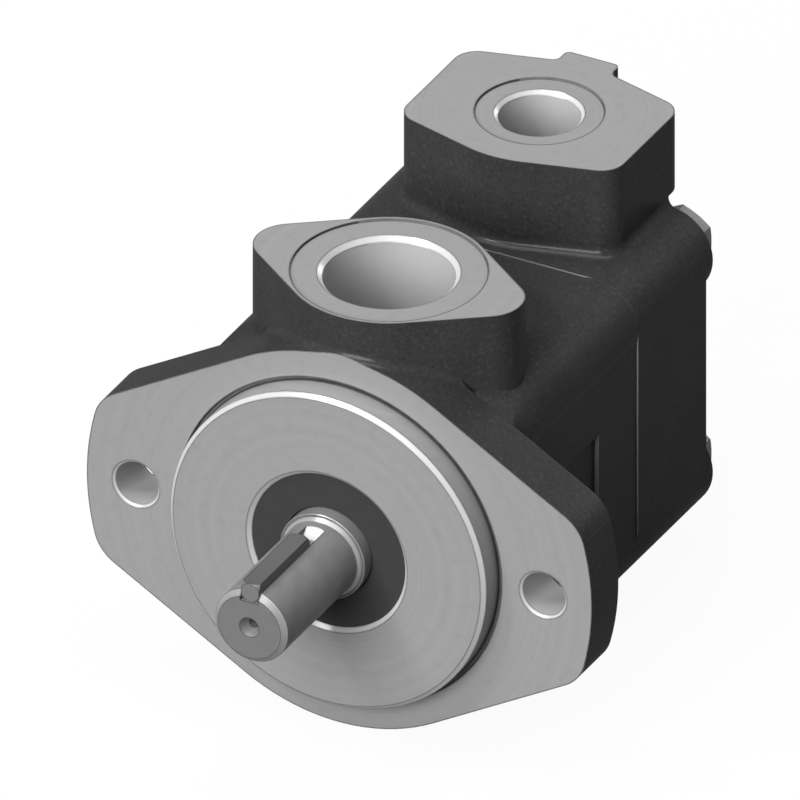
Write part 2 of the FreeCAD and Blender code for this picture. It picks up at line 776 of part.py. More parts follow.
def make_rear_cover():
    # The rear casting: bolted face with its spigot, outlet boss that overhangs the back, and corner bosses
    body = new_body("rear_cover")
    sketch = across(body, "CoverOutline", jointPlane)
    draw_rounded(sketch, square_rounds(coverHalf, s.tunnelRadius))
    blankLength = s.outletStation + s.outletHalfLength + s.castingAllowance
    extrude(body, "Pad", "Cover", sketch, blankLength, reverse=True)

    sketch = new_sketch(body, "OutletBossOutline", "XY_Plane", s.outletFace)
    cornerX = s.outletHalfWidth - s.outletCorner
    arcShift = s.outletFrontRadius - s.outletHalfLength
    front = (0, outletAxis + arcShift, s.outletFrontRadius)
    rear = (0, outletAxis - arcShift, s.outletFrontRadius)
    corners = [
        (cornerX * across_x, outletAxis + s.outletCornerStation * along_y, s.outletCorner)
        for across_x, along_y in ((1, -1), (1, 1), (-1, 1), (-1, -1))
    ]
    draw_rounded(sketch, [front, corners[0], corners[1], rear, corners[2], corners[3]])
    foot = coverHalf - s.bossSink
    boss = extrude(body, "Pad", "OutletBoss", sketch, s.outletFace - foot, reverse=True)
    edges = foot_edges(boss, sketch, lambda point: point.z > foot.number)
    dress(body, "Fillet", "OutletFoot", boss, edges, s.outletFillet)

    sketch = new_sketch(body, "TabOutline", "XY_Plane", s.outletFace)
    tabEnd = outletAxis + s.outletHalfLength + s.tabReach - s.tabCorner
    tabStart = outletAxis + s.outletHalfLength - s.outletCorner
    tabX = s.tabHalfWidth - s.tabCorner
    draw_rounded(
        sketch,
        [
            (-tabX, tabStart, s.tabCorner),
            (tabX, tabStart, s.tabCorner),
            (tabX, tabEnd, s.tabCorner),
            (-tabX, tabEnd, s.tabCorner),
        ],
    )
    tab = extrude(body, "Pad", "Tab", sketch, s.outletFace - foot, reverse=True)
    document.recompute()
    roots = edge_names(tab, lambda edge: is_tab_root(edge, tabEnd.number))
    dress(body, "Fillet", "TabRoots", tab, roots, s.tabFillet)

    sketch = new_sketch(body, "RearOutline", "YZ_Plane")
    beyond = tabEnd + s.castingAllowance
    lip = coverHalf - s.lipThickness
    draw_polygon(
        sketch,
        [
            (coverRear, -beyond),
            (beyond, -beyond),
            (beyond, s.outletUnderside),
            (boltSeat, s.outletUnderside),
            (boltSeat, lip),
            (coverRear, lip),
        ],
    )
    extrude(body, "Pocket", "RearCut", sketch, coverHalf * 3, both_ways=True)

    sketch = new_sketch(body, "NeckOutline", "YZ_Plane")
    neckRear = coverRear + s.neckDepth
    draw_polygon(
        sketch,
        [
            (coverRear - s.neckDepth, s.neckFoot),
            (coverRear, s.neckFoot),
            (neckRear, coverHalf),
            (neckRear, s.outletUnderside + s.bossSink),
            (coverRear - s.neckDepth, s.outletUnderside + s.bossSink),
        ],
    )
    extrude(body, "Pad", "Neck", sketch, s.neckHalfWidth * 2, both_ways=True)

    sketch = across(body, "CornerBossOutline", coverRear - s.cornerBossHeight)
    draw_circle(sketch, s.boltOffset, s.boltOffset, s.tunnelRadius)
    cornerBoss = extrude(body, "Pad", "CornerBoss", sketch, s.cornerBossHeight * 2, reverse=True)
    around_shaft(body, "CornerBosses", cornerBoss, BOLT_COUNT)

    sketch = across(body, "SpigotOutline", spigotEnd)
    spigotRadius = s.cartridgeRadius - s.fitGap * 2
    draw_circle(sketch, 0, 0, spigotRadius)
    extrude(body, "Pad", "Spigot", sketch, s.spigotLength * 2, reverse=True)

    sketch = new_sketch(body, "SpigotGrooveOutline", "XY_Plane")
    low, high = seal_groove(spigotEnd, s.spigotLength)
    bottom = s.cartridgeRadius - s.sealRingRadius * 2
    draw_polygon(sketch, [(bottom, low), (s.cartridgeRadius, low), (s.cartridgeRadius, high), (bottom, high)])
    turn(body, "Groove", "SpigotGroove", sketch)

    sketch = new_sketch(body, "CoverBoreOutline", "XY_Plane")
    springFloor = plateEnd + s.springRoom
    draw_polygon(
        sketch,
        [
            (0, spigotEnd),
            (coverBore, spigotEnd),
            (coverBore, plateEnd + s.plateGap),
            (s.chamberBehindRadius, plateEnd + s.plateGap),
            (s.chamberBehindRadius, springFloor),
            (s.outletChamberRadius, springFloor),
            (s.outletChamberRadius, springFloor + s.outletChamberLength),
            (0, springFloor + s.outletChamberLength),
        ],
    )
    turn(body, "Groove", "CoverBore", sketch)
    cut_port(
        body,
        "OutletPort",
        outletAxis,
        s.outletFace,
        s.outletSpotRadius,
        s.outletMouthRadius,
        s.outletThreadRadius,
        s.outletDepth,
    )
    sketch = new_sketch(body, "PassageOutline", "XY_Plane", s.outletFace - s.outletDepth)
    draw_circle(sketch, 0, jointPlane + s.outletPassageStation, s.outletPassageRadius)
    extrude(body, "Pocket", "Passage", sketch, s.outletFace - s.outletDepth)
    cut_corner_holes(body, "BoltHole", jointPlane, s.boltHoleRadius, boltSeat - jointPlane, True)
    return body


def seal_groove(start, width):
    # The two sides of a sealing ring's groove, centred in a land that starts at a station
    half = s.sealRingRadius + s.sealGrooveRoom
    middle = start + width / 2
    return middle - half, middle + half


def make_drive_shaft():
    # Keyed end, seal journal, bearing seat with its clip groove, neck, splines and tail journal
    shoulder = s.coneRise - s.coneFoot
    grooveStart = bearingRear + s.fitGap
    grooveEnd = grooveStart + s.circlipThickness + s.fitGap
    grooveBottom = s.bearingSeatRadius - s.circlipGrooveDepth
    seatEnd = bearingRear + s.seatTail
    splineStart = wearFace - s.splineRunIn
    shaftEnd = plateEnd - s.tailSetback
    body = turned_body(
        "drive_shaft",
        [
            (0, s.centreDepth - s.shaftReach),
            (s.centrePilotRadius, s.centreDepth - s.shaftReach),
            (s.centrePilotRadius, s.centreConeDepth - s.shaftReach),
            (s.centreMouthRadius, -s.shaftReach),
            (s.shaftRadius - s.shaftChamfer, -s.shaftReach),
            (s.shaftRadius, s.shaftChamfer - s.shaftReach),
            (s.shaftRadius, -s.coneFoot),
            (s.shaftRadius + s.coneRise, shoulder),
            (s.journalRadius - s.journalChamfer, shoulder),
            (s.journalRadius, shoulder + s.journalChamfer),
            (s.journalRadius, bearingFront),
            (s.bearingSeatRadius, bearingFront),
            (s.bearingSeatRadius, grooveStart),
            (grooveBottom, grooveStart),
            (grooveBottom, grooveEnd),
            (s.bearingSeatRadius, grooveEnd),
            (s.bearingSeatRadius, seatEnd),
            (s.neckRadius, seatEnd),
            (s.neckRadius, splineStart),
            (splineRoot, splineStart),
            (splineRoot, ringEnd),
            (s.tailRadius, ringEnd),
            (s.tailRadius, shaftEnd),
            (0, shaftEnd),
        ],
    )
    sketch = across(body, "SplineOutline", splineStart)
    half = s.splineWidth / 2
    draw_polygon(
        sketch,
        [(s.tailRadius / 2, -half), (s.splineRadius, -half), (s.splineRadius, half), (s.tailRadius / 2, half)],
    )
    tooth = extrude(body, "Pad", "SplineTooth", sketch, ringEnd - splineStart, reverse=True)
    around_shaft(body, "Splines", tooth, SPLINE_COUNT)
    cut_keyway(body)
    return body


def cut_keyway(body):
    # Open at the shaft's end, with the run-out that a disc cutter leaves behind the key
    sketch = new_sketch(body, "KeywayOutline", "YZ_Plane")
    start = -s.shaftReach - s.shaftChamfer
    flatEnd = keyRear + s.fitGap
    top = s.journalRadius + s.keySetback
    centre = flat(flatEnd, s.keyFloor + s.cutterRadius)
    rise = math.asin((top.number - centre.y) / s.cutterRadius.number)
    reach = centre.x + s.cutterRadius.number * math.cos(rise)
    floor = sketch.addGeometry(Part.LineSegment(flat(start, s.keyFloor), flat(flatEnd, s.keyFloor)), False)
    arc = add_arc(sketch, centre, s.cutterRadius.number, -math.pi / 2, rise)
    lid = sketch.addGeometry(Part.LineSegment(Vector(reach, top.number, 0), flat(start, top)), False)
    end = sketch.addGeometry(Part.LineSegment(flat(start, top), flat(start, s.keyFloor)), False)
    place_point(sketch, floor, 1, start, s.keyFloor)
    place_point(sketch, arc, 3, flatEnd, s.keyFloor + s.cutterRadius)
    place_point(sketch, end, 1, start, top)
    sketch.addConstraint(Sketcher.Constraint("Tangent", floor, 2, arc, 1))
    sketch.addConstraint(Sketcher.Constraint("Coincident", arc, 2, lid, 1))
    sketch.addConstraint(Sketcher.Constraint("Horizontal", lid))
    sketch.addConstraint(Sketcher.Constraint("Coincident", lid, 2, end, 1))
    sketch.addConstraint(Sketcher.Constraint("Coincident", end, 2, floor, 1))
    limit(sketch, Sketcher.Constraint("Radius", arc, s.cutterRadius.number), s.cutterRadius)
    extrude(body, "Pocket", "Keyway", sketch, s.keyWidth, both_ways=True)


def make_shaft_key():
    # A square bar whose ends were turned down to a cone
    body = new_body("shaft_key")
    sketch = across(body, "BarOutline", keyFront)
    half = s.keyWidth / 2
    draw_polygon(
        sketch,
        [(-half, s.keyFloor), (half, s.keyFloor), (half, keyTop), (-half, keyTop)],
    )
    extrude(body, "Pad", "Bar", sketch, s.keyLength, reverse=True)
    sketch = new_sketch(body, "TurnedEnds", "XY_Plane", s.keyFloor + s.keyHeight / 2)
    outer = s.keyTurnedRadius + s.keyTurnedLength
    for end, inward in ((keyFront, 1), (keyRear, -1)):
        draw_polygon(
            sketch, [(s.keyTurnedRadius, end), (outer, end), (outer, end + s.keyTurnedLength * inward)]
        )
    turn(body, "Groove", "Turned", sketch)
    return body


def make_shaft_seal():
    # Rubber front face and outer skin, with a lip that the garter spring closes on the shaft
    skin = s.sealRadius - s.sealSkin
    caseFront = sealFront + s.sealSkin
    return turned_body(
        "shaft_seal",
        [
            (s.dustLipRadius, sealFront),
            (s.sealRadius, sealFront),
            (s.sealRadius, sealRear),
            (skin, sealRear),
            (skin, caseFront),
            (s.sealCaseInner, caseFront),
            (s.sealCaseInner, caseFront + s.sealSkin * 2),
            (garterSeat, garterStation - s.garterRecess),
            (garterSeat, garterStation + s.garterRecess),
            (lipRadius + s.sealSkin, garterStation + s.garterRecess),
            (lipRadius, garterStation),
            (s.dustLipRadius + s.sealSkin, caseFront + s.sealSkin),
            (s.dustLipRadius, caseFront),
        ],
    )


def make_seal_case():
    # The pressed steel cup inside the seal
    outer = s.sealRadius - s.sealSkin
    front = sealFront + s.sealSkin
    return turned_body(
        "shaft_seal_case",
        [
            (s.sealCaseInner, front),
            (outer, front),
            (outer, sealRear),
            (outer - s.sealSkin, sealRear),
            (outer - s.sealSkin, front + s.sealSkin),
            (s.sealCaseInner, front + s.sealSkin),
        ],
    )


def make_ring(label, radius, section, station):
    # A round-section ring about the shaft axis
    ring = document.addObject("Part::Torus", label)
    bind(ring, "Radius1", radius)
    bind(ring, "Radius2", section)
    ring.Placement = Placement(flat(0, station), Rotation(Vector(1, 0, 0), 90))
    ring.setExpression("Placement.Base.y", station.text)
    return ring


def make_race(label, inner, outer):
    # A bearing race with the groove that the balls run in
    body = turned_body(
        label, [(inner, bearingFront), (outer, bearingFront), (outer, bearingRear), (inner, bearingRear)]
    )
    sketch = new_sketch(body, "TrackOutline", "XY_Plane")
    draw_circle(sketch, ballPitchRadius, bearingMiddle, s.ballRadius + s.fitGap)
    turn(body, "Groove", "Track", sketch)
    return body


def make_balls():
    balls = []
    for index in range(BALL_COUNT):
        angle = 2 * math.pi * index / BALL_COUNT
        ball = document.addObject("Part::Sphere", "ball")
        bind(ball, "Radius", s.ballRadius)
        place(ball, ballPitchRadius * math.cos(angle), bearingMiddle, ballPitchRadius * math.sin(angle))
        balls.append(ball)
    return gather("bearing_balls", balls)


def place(item, x, y, z, rotation=Rotation()):
    # Put a primitive at a point that follows the sheet
    item.Placement = Placement(Vector(plain(x), plain(y), plain(z)), rotation)
    for name, value in (("x", x), ("y", y), ("z", z)):
        if isinstance(value, Size):
            item.setExpression(f"Placement.Base.{name}", value.text)


def gather(label, items):
    # One node that holds several separate solids
    group = document.addObject("Part::Compound", label)
    group.Label = label
    group.Links = items
    return group


def make_cage():
    low = bearingMiddle - s.cageHalfWidth
    high = bearingMiddle + s.cageHalfWidth
    inner = innerRaceRadius + s.cageClearance
    outer = outerRaceRadius - s.cageClearance
    body = turned_body("bearing_cage", [(inner, low), (outer, low), (outer, high), (inner, high)])
    sketch = new_sketch(body, "PocketOutline", "YZ_Plane")
    draw_circle(sketch, bearingMiddle, 0, s.ballRadius + s.fitGap * 2)
    pocket = extrude(body, "Pocket", "BallPocket", sketch, outer * 2, reverse=True)
    around_shaft(body, "BallPockets", pocket, BALL_COUNT)
    return body


def make_circlip(label, station, thickness, inner, outer, lugRadius, lugPitch):
    # A split spring ring: an open band with a drilled lug beside each end of its gap
    body = new_body(label)
    sketch = across(body, "BandOutline", station)
    draw_circle(sketch, 0, 0, outer)
    draw_circle(sketch, 0, 0, inner)
    extrude(body, "Pad", "Band", sketch, thickness, reverse=True)
    swing = math.radians(s.lugSwing.number)
    places = [(lugPitch * math.sin(swing) * side, -(lugPitch * math.cos(swing))) for side in (1, -1)]
    sketch = across(body, "LugOutline", station)
    for x, z in places:
        draw_circle(sketch, x, z, lugRadius)
    extrude(body, "Pad", "Lugs", sketch, thickness, reverse=True)
    sketch = across(body, "GapOutline", station)
    half = lugPitch * math.sin(swing) - lugRadius
    below = -(outer + lugRadius)
    above = lugRadius * 2 - inner
    draw_polygon(sketch, [(-half, below), (half, below), (half, above), (-half, above)])
    extrude(body, "Pocket", "Gap", sketch, thickness)
    sketch = across(body, "LugHoleOutline", station)
    for x, z in places:
        draw_circle(sketch, x, z, lugRadius / 2)
    extrude(body, "Pocket", "LugHoles", sketch, thickness)
    return body


def cam_radius(angle):
    # Minor dwell about X, major dwell about Z, and a smooth rise between them
    quarter = abs(math.remainder(angle, math.pi))
    half_dwell = math.radians(s.dwellAngle.number) / 2
    rise = (quarter - half_dwell) / (math.pi / 2 - 2 * half_dwell)
    rise = min(max(rise, 0), 1)
    lift = rise - math.sin(2 * math.pi * rise) / (2 * math.pi)
    return s.minorRadius.number + (s.majorRadius.number - s.minorRadius.number) * lift


def make_cam_ring():
    # A round ring whose bore is the two-lobed track that the vanes follow
    turns = [2 * math.pi * index / CAM_POINTS for index in range(CAM_POINTS)]
    points = [Vector(cam_radius(a) * math.cos(a), wearFace.number, cam_radius(a) * math.sin(a)) for a in turns]
    curve = Part.BSplineCurve()
    curve.interpolate(Points=points, PeriodicFlag=True)
    face = Part.Face(Part.Wire(curve.toShape()))
    track = document.addObject("Part::Feature", "cam_track")
    track.Shape = face.extrude(Vector(0, s.ringWidth.number, 0))
    blank = make_bar("ring_blank", ringOuter, wearFace, s.ringWidth, 0, 0)
    holes = [
        make_bar("ring_pin_hole", s.pinRadius, wearFace, s.ringWidth, s.pinOffset * side, 0)
        for side in (1, -1)
    ]
    openings = document.addObject("Part::MultiFuse", "ring_openings")
    openings.Shapes = [track] + holes
    ring = document.addObject("Part::Cut", "cam_ring")
    ring.Base = blank
    ring.Tool = openings
    return ring


def make_bar(label, radius, station, length, x, z):
    # A round bar along the shaft's direction
    bar = document.addObject("Part::Cylinder", label)
    bind(bar, "Radius", radius)
    bind(bar, "Height", length)
    place(bar, x, station, z, Rotation(Vector(1, 0, 0), -90))
    return bar


def make_rotor():
    # A slotted disc: each slot ends in a round chamber that pushes its vane out
    body = new_body("rotor")
    sketch = across(body, "RotorOutline", wearFace + s.fitGap)
    width = s.ringWidth - s.fitGap * 2
    draw_circle(sketch, 0, 0, s.rotorRadius)
    draw_circle(sketch, 0, 0, splineRoot + s.fitGap)
    extrude(body, "Pad", "Rotor", sketch, width, reverse=True)

    half = s.splineWidth / 2 + s.fitGap
    inner = s.tailRadius / 2
    outer = s.splineRadius + s.fitGap
    sketch = across(body, "SplineOutline", wearFace + s.fitGap)
    draw_polygon(sketch, [(inner, -half), (outer, -half), (outer, half), (inner, half)])
    space = extrude(body, "Pocket", "SplineSpace", sketch, width)
    around_shaft(body, "SplineSpaces", space, SPLINE_COUNT)

    half = s.vaneThickness / 2 + s.fitGap
    sketch = across(body, "SlotOutline", wearFace + s.fitGap, FIRST_VANE)
    outer = s.rotorRadius + s.vaneThickness
    draw_polygon(
        sketch, [(s.slotBottomRadius, -half), (outer, -half), (outer, half), (s.slotBottomRadius, half)]
    )
    slot = extrude(body, "Pocket", "Slot", sketch, width)
    slots = around_shaft(body, "Slots", slot, VANE_COUNT)
    sketch = across(body, "UnderVaneOutline", wearFace + s.fitGap, FIRST_VANE)
    draw_circle(sketch, s.slotBottomRadius, 0, s.underVaneRadius)
    chamber = extrude(body, "Pocket", "UnderVane", sketch, width)
    around_shaft(body, "UnderVanes", chamber, VANE_COUNT)
    return body


def make_vane(index):
    # A flat blade with a rounded tip, drawn pushed home in its slot
    body = new_body(f"vane_{index + 1:02d}")
    sketch = across(body, "BladeOutline", wearFace + s.fitGap, FIRST_VANE + index * 360 / VANE_COUNT)
    half = s.vaneThickness / 2
    bottom = vaneTip - s.vaneHeight
    centre = vaneTip - s.vaneTipRadius
    radius = s.vaneTipRadius.number
    swing = math.asin(half.number / radius)
    edge = centre.number + radius * math.cos(swing)
    foot = sketch.addGeometry(Part.LineSegment(flat(bottom, half), flat(bottom, -half)), False)
    low = sketch.addGeometry(Part.LineSegment(flat(bottom, -half), flat(edge, -half)), False)
    tip = add_arc(sketch, flat(centre, 0), radius, -swing, swing)
    high = sketch.addGeometry(Part.LineSegment(flat(edge, half), flat(bottom, half)), False)
    place_point(sketch, foot, 1, bottom, half)
    place_point(sketch, foot, 2, bottom, -half)
    place_point(sketch, tip, 3, centre, 0)
    limit(sketch, Sketcher.Constraint("Radius", tip, radius), s.vaneTipRadius)
    for link in ((foot, 2, low, 1), (low, 2, tip, 1), (tip, 2, high, 1), (high, 2, foot, 1)):
        sketch.addConstraint(Sketcher.Constraint("Coincident", *link))
    sketch.addConstraint(Sketcher.Constraint("Horizontal", low))
    sketch.addConstraint(Sketcher.Constraint("Horizontal", high))
    extrude(body, "Pad", "Blade", sketch, s.ringWidth - s.fitGap * 2, reverse=True)
    return body


def make_pressure_plate():
    # Closes the ring from behind; a stepped disc with a seal groove, a spring seat and two outlet kidneys
    low, high = seal_groove(plateStep, s.plateHubLength)
    grooveBottom = coverBore - s.sealRingRadius * 2
    seatInner = springInner - s.springClearance
    seatOuter = springOuter + s.springClearance
    seatFloor = plateEnd - s.springSeatDepth
    ventInner = s.slotBottomRadius - s.underVaneRadius
    ventOuter = s.slotBottomRadius + s.underVaneRadius
    body = turned_body(
        "pressure_plate",
        [
            (bushingOuter, ringEnd),
            (ventInner, ringEnd),
            (ventInner, ringEnd + s.ventDepth),
            (ventOuter, ringEnd + s.ventDepth),
            (ventOuter, ringEnd),
            (ringOuter, ringEnd),
            (ringOuter, plateStep),
            (s.plateHubRadius, plateStep),
            (s.plateHubRadius, low),
            (grooveBottom, low),
            (grooveBottom, high),
            (s.plateHubRadius, high),
            (s.plateHubRadius, plateEnd),
            (seatOuter, plateEnd),
            (seatOuter, seatFloor),
            (seatInner, seatFloor),
            (seatInner, plateEnd),
            (bushingOuter, plateEnd),
        ],
    )
    cut_kidneys(body, "OutletKidney", -45, ringEnd, plateEnd)
    cut_pin_holes(body, "PlatePinHole", ringEnd, s.platePinDepth, True)
    return body


def make_locating_pins():
    start = wearFace - s.pinDepth
    length = s.pinDepth + s.ringWidth + s.platePinDepth
    pins = [make_bar("pin", s.pinRadius, start, length, s.pinOffset * side, 0) for side in (1, -1)]
    return gather("locating_pins", pins)


def make_bushing():
    low = ringEnd + s.ventDepth
    return turned_body(
        "shaft_bushing",
        [(bushingInner, low), (bushingOuter, low), (bushingOuter, plateEnd), (bushingInner, plateEnd)],
    )


def make_plate_spring():
    # A conical disc whose outer edge rests in the plate's seat and whose inner edge meets the cover
    low = plateEnd - s.springSeatDepth
    high = plateEnd + s.springRoom - s.fitGap
    return turned_body(
        "pressure_plate_spring",
        [
            (springOuter, low),
            (springOuter, low + s.springThickness),
            (springInner, high),
            (springInner, high - s.springThickness),
        ],
    )


def make_cover_bolts():
    # Hexagon-headed bolts through the corner tunnels: one is drawn, and mirrored across and down
    body = new_body("cover_bolt")
    middle = s.boltOffset
    side = s.headFlats * (0.5 / math.sqrt(3))
    half = s.headFlats / 2
    points = ((1, -1), (1, 1), (0, 2), (-1, 1), (-1, -1), (0, -2))
    sketch = across(body, "HeadOutline", boltSeat)
    draw_polygon(sketch, [(middle + half * x, middle + side * z) for x, z in points])
    extrude(body, "Pad", "Head", sketch, s.headHeight, reverse=True)

    headEnd = boltSeat + s.headHeight
    shankEdge = middle + s.boltRadius
    sketch = new_sketch(body, "ShankOutline", "XY_Plane", middle)
    draw_axis(sketch, middle, threadEnd, boltSeat)
    draw_polygon(
        sketch,
        [
            (middle, threadEnd),
            (shankEdge - s.headChamfer, threadEnd),
            (shankEdge, threadEnd + s.headChamfer),
            (shankEdge, boltSeat),
            (middle, boltSeat),
        ],
    )
    turn(body, "Revolution", "Shank", sketch, "Axis0")
    sketch = new_sketch(body, "CrownOutline", "XY_Plane", middle)
    draw_axis(sketch, middle, boltSeat, headEnd)
    crown = middle + half - s.headChamfer / 2
    corner = middle + s.headFlats
    draw_polygon(sketch, [(crown, headEnd), (corner, headEnd), (corner, headEnd - (corner - crown) / 2)])
    turn(body, "Groove", "Crown", sketch, "Axis0")
    pair = gather("bolt_pair", [body, mirror("bolt_across", body, Vector(1, 0, 0))])
    return gather("cover_bolts", [pair, mirror("bolts_below", pair, Vector(0, 0, 1))])


def mirror(label, source, normal):
    mirrored = document.addObject("Part::Mirroring", label)
    mirrored.Source = source
    mirrored.Normal = normal
    return mirrored


pieces = [
    make_front_body(),
    make_rear_cover(),
    make_drive_shaft(),
    make_shaft_key(),
    make_shaft_seal(),
    make_seal_case(),
    make_ring("seal_garter_spring", garterSeat + s.garterRadius, s.garterRadius, garterStation),
    make_race("bearing_outer_race", outerRaceRadius, s.sealRadius),
    make_race("bearing_inner_race", s.bearingSeatRadius, innerRaceRadius),
    make_balls(),
    make_cage(),
    make_circlip(
        "bearing_retaining_ring",
        retainerFront,
        s.retainerThickness,
        s.sealRadius - s.retainerBand,
        s.sealRadius + s.retainerGrooveDepth - s.fitGap,
        s.retainerLug,
        s.sealRadius - s.retainerBand,
    ),
    make_circlip(
        "shaft_retaining_ring",
        bearingRear + s.fitGap,
        s.circlipThickness,
        s.bearingSeatRadius - s.circlipGrooveDepth + s.fitGap,
        s.bearingSeatRadius + s.circlipBand,
        s.circlipLug,
        s.bearingSeatRadius + s.circlipBand,
    ),
    make_bushing(),
    make_cam_ring(),
    make_rotor(),
    *[make_vane(index) for index in range(VANE_COUNT)],
    make_pressure_plate(),
    make_ring("pressure_plate_seal", coverBore - s.sealRingRadius, sealRing, plateStep + s.plateHubLength / 2),
    make_plate_spring(),
    make_ring("cover_seal", s.cartridgeRadius - s.sealRingRadius, sealRing, spigotEnd + s.spigotLength / 2),
    make_locating_pins(),
    make_cover_bolts(),
]
document.recompute()

for item in document.Objects:
    if "Invalid" in item.State or "Error" in item.State:
        raise RuntimeError(f"{item.Label} failed: {item.State}")
for piece in pieces:
    if piece.Shape.isNull() or not piece.Shape.isValid():
        raise RuntimeError(f"{piece.Label} has no valid shape")

os.makedirs("parts", exist_ok=True)
for piece in pieces:
    piece.Shape.exportStep(f"parts/{piece.Label}.step")
    print(piece.Label, len(piece.Shape.Solids), round(piece.Shape.Volume, 1))
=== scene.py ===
import json
import math

import bpy
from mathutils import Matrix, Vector


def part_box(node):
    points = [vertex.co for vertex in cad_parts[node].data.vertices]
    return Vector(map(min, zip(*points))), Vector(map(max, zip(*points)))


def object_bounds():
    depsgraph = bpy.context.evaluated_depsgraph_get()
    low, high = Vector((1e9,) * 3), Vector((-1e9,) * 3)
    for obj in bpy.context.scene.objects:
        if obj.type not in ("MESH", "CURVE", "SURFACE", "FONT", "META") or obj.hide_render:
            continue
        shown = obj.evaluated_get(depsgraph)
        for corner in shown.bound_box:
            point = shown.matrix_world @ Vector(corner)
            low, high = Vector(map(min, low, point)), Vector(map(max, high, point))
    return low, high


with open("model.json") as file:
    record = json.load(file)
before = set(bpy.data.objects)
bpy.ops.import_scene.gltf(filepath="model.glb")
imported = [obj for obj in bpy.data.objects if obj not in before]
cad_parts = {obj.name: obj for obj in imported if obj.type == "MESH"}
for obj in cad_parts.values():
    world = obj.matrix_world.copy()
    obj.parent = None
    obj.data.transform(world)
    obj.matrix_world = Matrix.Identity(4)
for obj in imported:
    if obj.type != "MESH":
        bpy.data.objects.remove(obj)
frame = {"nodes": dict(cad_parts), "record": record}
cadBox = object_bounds()
nodes = frame["nodes"]
mounts = {mount["name"]: mount for mount in frame["record"]["mounts"]}
perMetre = 1000.0  # millimetres
print("pump loaded with", len(nodes), "nodes")


# Shader maths written as plain expressions


class Value:
    # a socket that takes part in sums, so that masks read as formulas
    def __init__(self, shading, socket):
        self.shading = shading
        self.socket = socket

    def __add__(self, other):
        return self.shading.math("ADD", self, other)

    def __radd__(self, other):
        return self.shading.math("ADD", other, self)

    def __sub__(self, other):
        return self.shading.math("SUBTRACT", self, other)

    def __rsub__(self, other):
        return self.shading.math("SUBTRACT", other, self)

    def __mul__(self, other):
        return self.shading.math("MULTIPLY", self, other)

    def __rmul__(self, other):
        return self.shading.math("MULTIPLY", other, self)

    def __truediv__(self, other):
        return self.shading.math("DIVIDE", self, other)

    def __rtruediv__(self, other):
        return self.shading.math("DIVIDE", other, self)

    def __pow__(self, other):
        return self.shading.math("POWER", self, other)

    def __rpow__(self, other):
        return self.shading.math("POWER", other, self)

    def __abs__(self):
        return self.shading.math("ABSOLUTE", self)

    def __and__(self, other):
        return self.shading.math("MULTIPLY", self, other)

    def __or__(self, other):
        return self.shading.math("MAXIMUM", self, other)

    def above(self, edge, soft=0.0):
        # 1 where the value is over the edge, 0 below it
        if not soft:
            return self.shading.math("GREATER_THAN", self, edge)
        settings = {"interpolation_type": "SMOOTHSTEP", "clamp": True}
        ends = {"Value": self, "From Min": edge - soft, "From Max": edge + soft}
        return self.shading.add("ShaderNodeMapRange", settings, ends)

    def below(self, edge, soft=0.0):
        return 1 - self.above(edge, soft)

    def near(self, middle, reach):
        # 1 where the value lies within reach of the middle
        return abs(self - middle).below(reach)

    def spread(self, low, high):
        # stretch a 0 to 1 value between two others
        ends = {"Value": self, "To Min": low, "To Max": high}
        return self.shading.add("ShaderNodeMapRange", {"clamp": True}, ends)


class Shading:
    # the node tree of a material or of the world
    def __init__(self, owner):
        owner.use_nodes = True
        self.tree = owner.node_tree
        self.tree.nodes.clear()

    def node(self, kind, settings=None, inputs=None):
        # settings come first, then the values or links of the sockets
        made = self.tree.nodes.new(kind)
        for name, value in (settings or {}).items():
            setattr(made, name, value)
        for name, value in (inputs or {}).items():
            if isinstance(value, Value):
                value = value.socket
            if isinstance(value, bpy.types.NodeSocket):
                self.tree.links.new(value, made.inputs[name])
            else:
                made.inputs[name].default_value = value
        return made

    def add(self, kind, settings=None, inputs=None, output=0):
        return Value(self, self.node(kind, settings, inputs).outputs[output])

    def math(self, operation, *terms):
        return self.add("ShaderNodeMath", {"operation": operation}, dict(enumerate(terms)))

    def rays(self):
        # 1 for rays from the camera, for mirrored ones and for ones that come through glass
        path = self.node("ShaderNodeLightPath")
        return [Value(self, path.outputs[f"Is {kind} Ray"]) for kind in ("Camera", "Glossy", "Transmission")]


